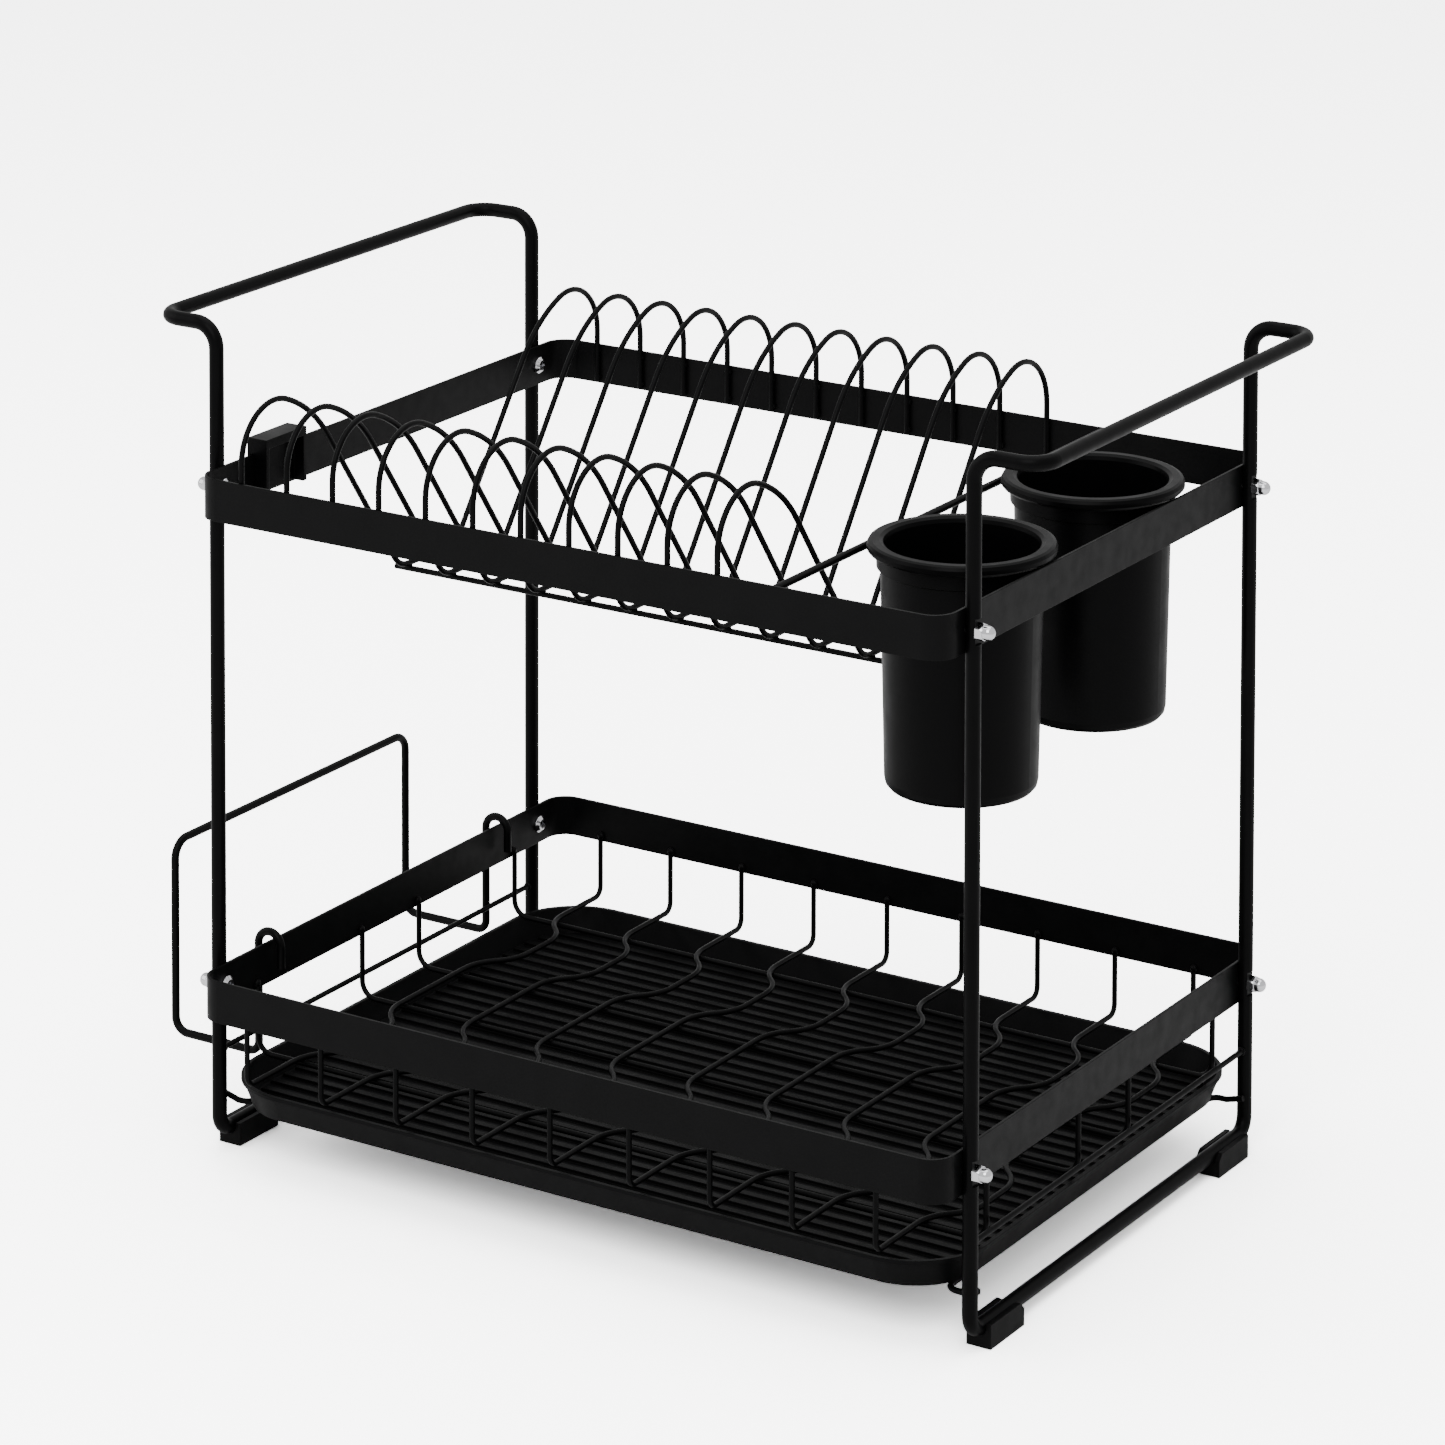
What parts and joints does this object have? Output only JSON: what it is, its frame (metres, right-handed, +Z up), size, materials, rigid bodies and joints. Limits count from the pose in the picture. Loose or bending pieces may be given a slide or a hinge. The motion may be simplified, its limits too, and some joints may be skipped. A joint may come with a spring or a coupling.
{
  "type": "two tier dish drying rack",
  "caption": "Two tier black wire dish drying rack: plate wires on top, a wire basket below, cutlery cups, a hook-on board holder and a pull-out drip tray.",
  "frame": {"origin": "on the floor under the centre of the whole rack's bounding box", "axes": "+Z up, +X along the long front side towards the cutlery cups, +Y towards the back; the front faces -Y"},
  "size_m": [0.5684, 0.344, 0.4537],
  "materials": {
    "powder_black": "satin black powder coat",
    "black_plastic": "fine satin moulded plastic",
    "chrome": "bright plated"
  },
  "bodies": {
    "rack": {"left_end_frame": "powder_black", "right_end_frame": "powder_black", "left_side_bar": "powder_black", "right_side_bar": "powder_black", "left_tray_support": "powder_black", "right_tray_support": "powder_black", "foot_front_left": "black_plastic", "foot_front_right": "black_plastic", "foot_rear_left": "black_plastic", "foot_rear_right": "black_plastic", "upper_band": "powder_black", "lower_band": "powder_black", "plate_wire_1": "powder_black", "plate_wire_2": "powder_black", "plate_wire_3": "powder_black", "plate_wire_4": "powder_black", "plate_wire_5": "powder_black", "plate_wire_6": "powder_black", "plate_wire_7": "powder_black", "plate_wire_8": "powder_black", "plate_wire_9": "powder_black", "plate_wire_10": "powder_black", "plate_wire_11": "powder_black", "trough_rail_front": "powder_black", "trough_rail_rear": "powder_black", "divider_wire": "powder_black", "band_clip": "black_plastic", "floor_wire_1": "powder_black", "floor_wire_2": "powder_black", "floor_wire_3": "powder_black", "floor_wire_4": "powder_black", "floor_wire_5": "powder_black", "floor_wire_6": "powder_black", "floor_wire_7": "powder_black", "floor_wire_8": "powder_black", "floor_wire_9": "powder_black", "cross_wire_1": "powder_black", "cross_wire_2": "powder_black", "cross_wire_3": "powder_black", "cross_wire_4": "powder_black", "upper_screws": "chrome", "upper_dome_nuts": "chrome", "lower_screws": "chrome", "lower_dome_nuts": "chrome"},
    "cup_front": {"cutlery_cup_front": "black_plastic"},
    "cup_rear": {"cutlery_cup_rear": "black_plastic"},
    "tray": {"drip_tray": "black_plastic"},
    "board_hook": {"board_holder": "powder_black"}
  },
  "joints": [
    {"name": "cup_front_lift", "type": "slide", "parent": "rack", "child": "cup_front", "axis": [0, 0, 1], "range_m": [0, 0.15]},
    {"name": "cup_rear_lift", "type": "slide", "parent": "rack", "child": "cup_rear", "axis": [0, 0, 1], "range_m": [0, 0.15]},
    {"name": "tray_pull", "type": "slide", "parent": "rack", "child": "tray", "axis": [0, -1, 0], "range_m": [0, 0.35]},
    {"name": "board_holder_lift", "type": "slide", "parent": "rack", "child": "board_hook", "axis": [0, 0, 1], "range_m": [0, 0.05]}
  ]
}
